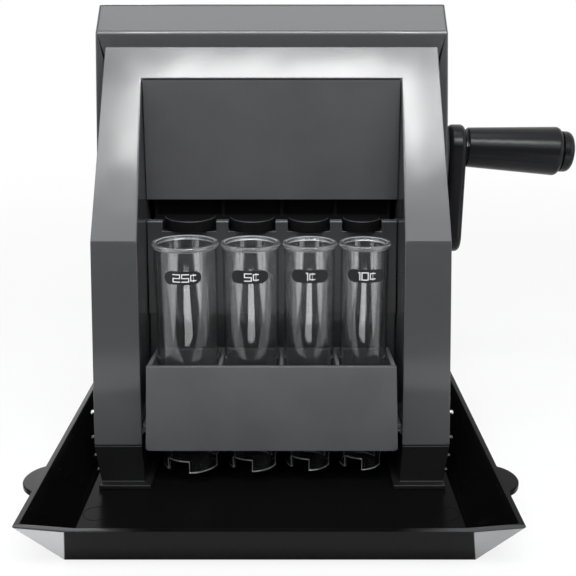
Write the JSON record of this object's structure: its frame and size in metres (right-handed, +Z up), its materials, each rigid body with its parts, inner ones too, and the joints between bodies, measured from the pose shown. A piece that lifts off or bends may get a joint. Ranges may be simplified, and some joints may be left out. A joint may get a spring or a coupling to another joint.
{
  "type": "hand-crank coin sorter",
  "caption": "Counter-top coin sorter with a side crank, a coin hopper, a front arch, clear coin tubes in a pull-out rack and a flared tray",
  "frame": {"origin": "middle of the tray's flat underside, on the table", "axes": "+X towards the crank, +Y towards the back, +Z up"},
  "size_m": [0.245, 0.2, 0.212],
  "materials": {
    "grey_gloss": "glossy silver-grey plastic",
    "panel_grey": "matte dark grey plastic",
    "rack_grey": "matte mid-grey plastic",
    "plate_grey": "glossy dark grey plastic",
    "black_gloss": "glossy black plastic",
    "black_satin": "satin black plastic",
    "clear": "clear moulded plastic",
    "label_black": "printed black film",
    "nylon": "natural nylon",
    "steel": "zinc-plated steel"
  },
  "bodies": {
    "machine": {"tray": "black_gloss", "tray_screws": "steel", "base_frame": "black_satin", "front_arch": "grey_gloss", "arch_screws": "steel", "leg_screws": "steel", "housing": "grey_gloss", "rear_cover": "grey_gloss", "rear_cover_screws": "steel", "front_panel": "panel_grey", "tube_backplate": "plate_grey", "chute_block": "black_gloss", "sorting_rail": "black_satin", "hopper": "black_satin", "disc_bridge": "black_satin", "bridge_screws": "steel", "spindle_bush": "nylon", "crank_bearing": "nylon", "bearing_nut": "black_satin"},
    "crank": {"crank_shaft": "steel", "crank_pinion": "nylon", "shaft_clip": "steel", "crank_washer": "steel", "crank_arm": "black_satin", "crank_screw": "steel", "grip_pin": "steel", "grip_cap": "black_satin"},
    "crank_grip": {"grip": "black_satin"},
    "disc": {"coin_disc": "nylon", "disc_spindle": "steel", "disc_nut": "black_satin", "spindle_clip": "steel"},
    "rack": {"tube_rack": "rack_grey", "coin_tube_25": "clear", "coin_tube_5": "clear", "coin_tube_1": "clear", "coin_tube_10": "clear", "tube_label_25": "label_black", "tube_label_5": "label_black", "tube_label_1": "label_black", "tube_label_10": "label_black"}
  },
  "joints": [
    {"name": "crank_spin", "type": "hinge", "parent": "machine", "child": "crank", "pos_m": [0.08, 0.034, 0.1056], "axis": [1, 0, 0], "continuous": true},
    {"name": "grip_spin", "type": "hinge", "parent": "crank", "child": "crank_grip", "pos_m": [0.0909, 0.034, 0.1475], "axis": [0.999, 0, -0.0454], "continuous": true},
    {"name": "disc_spin", "type": "hinge", "parent": "machine", "child": "disc", "pos_m": [0.01, 0.034, 0.1056], "axis": [0, 0.7071, 0.7071], "continuous": true},
    {"name": "rack_slide", "type": "slide", "parent": "machine", "child": "rack", "axis": [0, -1, 0], "range_m": [0, 0.02]}
  ],
  "couplings": [
    {"joint": "disc_spin", "follows": "crank_spin", "ratio": -0.33333}
  ]
}
